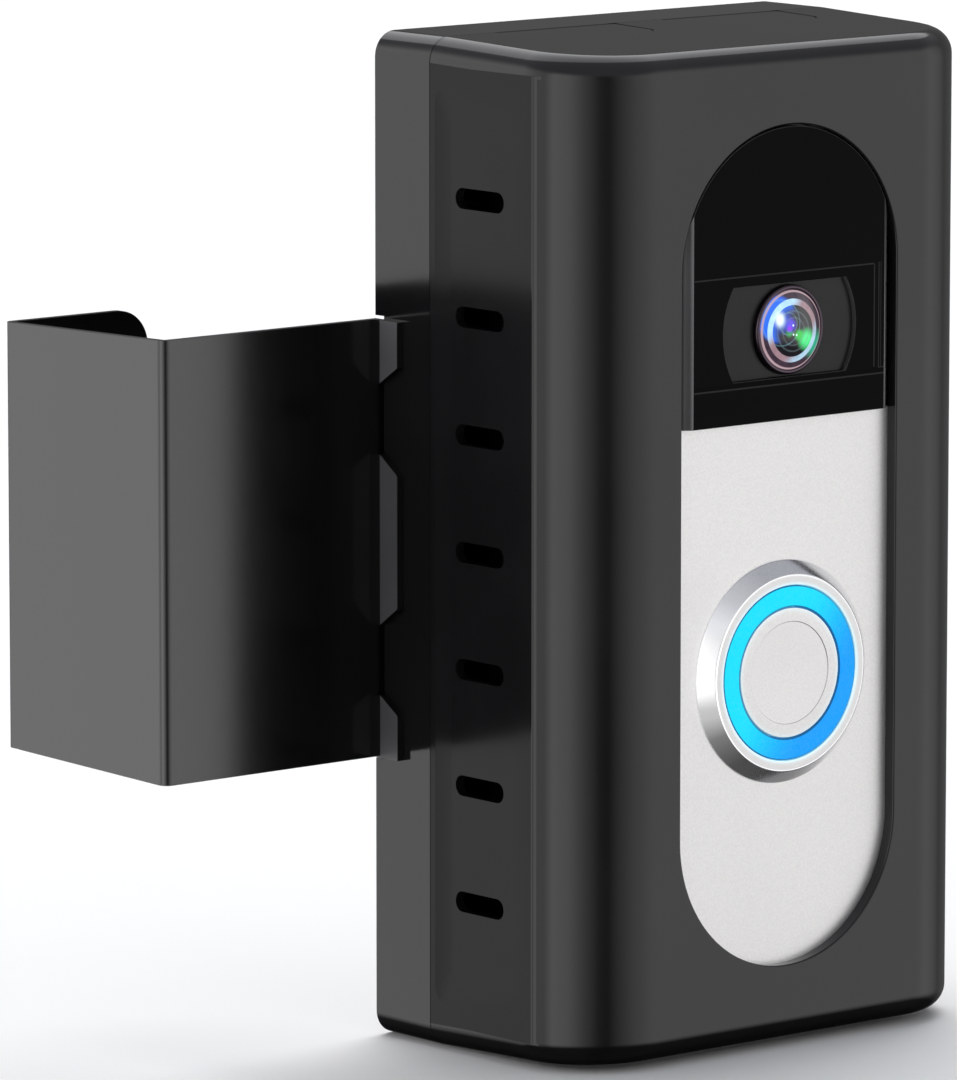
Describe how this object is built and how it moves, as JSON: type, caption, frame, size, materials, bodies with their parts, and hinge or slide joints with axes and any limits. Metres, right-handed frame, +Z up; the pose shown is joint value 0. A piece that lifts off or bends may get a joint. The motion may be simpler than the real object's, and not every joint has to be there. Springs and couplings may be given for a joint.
{
  "type": "video doorbell",
  "caption": "Video doorbell in a black anti-theft housing with a pill window, lit push button, domed lens and a bent steel bracket that clips over a door edge.",
  "frame": {"origin": "centre of the housing's flat back face, which lies against the door", "axes": "+Z up, -Y towards the visitor, +Y into the door, +X to the visitor's right, away from the door bracket"},
  "size_m": [0.1207, 0.0972, 0.15],
  "materials": {
    "housing_black": "satin moulded",
    "rear_black": "polished moulded",
    "pad_rubber": "matt",
    "bracket_black": "gloss powder coat",
    "screw_steel": "zinc plated",
    "insert_brass": "plain",
    "tip_nylon": "natural",
    "foam": "closed cell",
    "bell_black": "fine texture",
    "faceplate_silver": "fine bead blast",
    "panel_gloss": "polished",
    "surround_black": "satin",
    "lens_glass": "coated",
    "bezel_chrome": "polished",
    "ring_blue": "lit diffuser",
    "spring_steel": "plain",
    "circuit_board": "solder mask",
    "chip_black": "moulded",
    "shield_tin": "tinned",
    "flex_amber": "polyimide film",
    "led_clear": "clear resin",
    "battery_wrap": "shrink wrap",
    "lead_red": "insulation"
  },
  "bodies": {
    "housing": {"front_cover": "housing_black", "rear_cover": "rear_black", "back_pads": "pad_rubber", "door_bracket": "bracket_black", "bracket_screws": "screw_steel", "edge_pad": "pad_rubber", "leg_nuts": "screw_steel", "cover_screws": "screw_steel", "cover_inserts": "insert_brass", "spacer_pads": "foam", "bell_back_plate": "bell_black", "mount_screws": "screw_steel", "terminal_screws": "insert_brass", "body_gasket": "pad_rubber", "bell_body": "bell_black", "body_lock_screw": "screw_steel", "faceplate": "faceplate_silver", "camera_panel": "panel_gloss", "lens_surround": "surround_black", "lens_barrel": "surround_black", "front_lens": "lens_glass", "inner_lens": "lens_glass", "lens_aperture": "surround_black", "lens_holder": "surround_black", "image_sensor": "chip_black", "camera_board": "circuit_board", "infrared_leds": "led_clear", "motion_sensor": "shield_tin", "button_bezel": "bezel_chrome", "light_ring": "ring_blue", "button_spring": "spring_steel", "button_switch": "chip_black", "ring_leds": "led_clear", "main_board": "circuit_board", "processor": "chip_black", "radio_shield": "shield_tin", "camera_flex": "flex_amber", "microphone": "shield_tin", "speaker": "chip_black", "speaker_gasket": "pad_rubber", "battery_pack": "battery_wrap", "battery_lead": "lead_red"},
    "button": {"button_cap": "faceplate_silver"},
    "upper_tip": {"screw_tip_upper": "tip_nylon"},
    "upper_screw": {"clamp_screw_upper": "screw_steel"},
    "lower_tip": {"screw_tip_lower": "tip_nylon"},
    "lower_screw": {"clamp_screw_lower": "screw_steel"}
  },
  "joints": [
    {"name": "button_press", "type": "slide", "parent": "housing", "child": "button", "axis": [0, 1, 0], "range_m": [0, 0.001], "stiffness_N_per_m": 800, "springref_m": -0.0015, "deforming": ["button_spring"]},
    {"name": "upper_clamp_advance", "type": "slide", "parent": "housing", "child": "upper_tip", "axis": [0, -1, 0], "range_m": [0, 0.007]},
    {"name": "upper_clamp_turn", "type": "hinge", "parent": "upper_tip", "child": "upper_screw", "pos_m": [-0.067, 0.042, 0.016], "axis": [0, -1, 0], "range_deg": [0, 2521]},
    {"name": "lower_clamp_advance", "type": "slide", "parent": "housing", "child": "lower_tip", "axis": [0, -1, 0], "range_m": [0, 0.007]},
    {"name": "lower_clamp_turn", "type": "hinge", "parent": "lower_tip", "child": "lower_screw", "pos_m": [-0.067, 0.042, -0.016], "axis": [0, -1, 0], "range_deg": [0, 2521]}
  ],
  "couplings": [
    {"joint": "upper_clamp_turn", "follows": "upper_clamp_advance", "rad_per_m": 6283.2},
    {"joint": "lower_clamp_turn", "follows": "lower_clamp_advance", "rad_per_m": 6283.2}
  ]
}
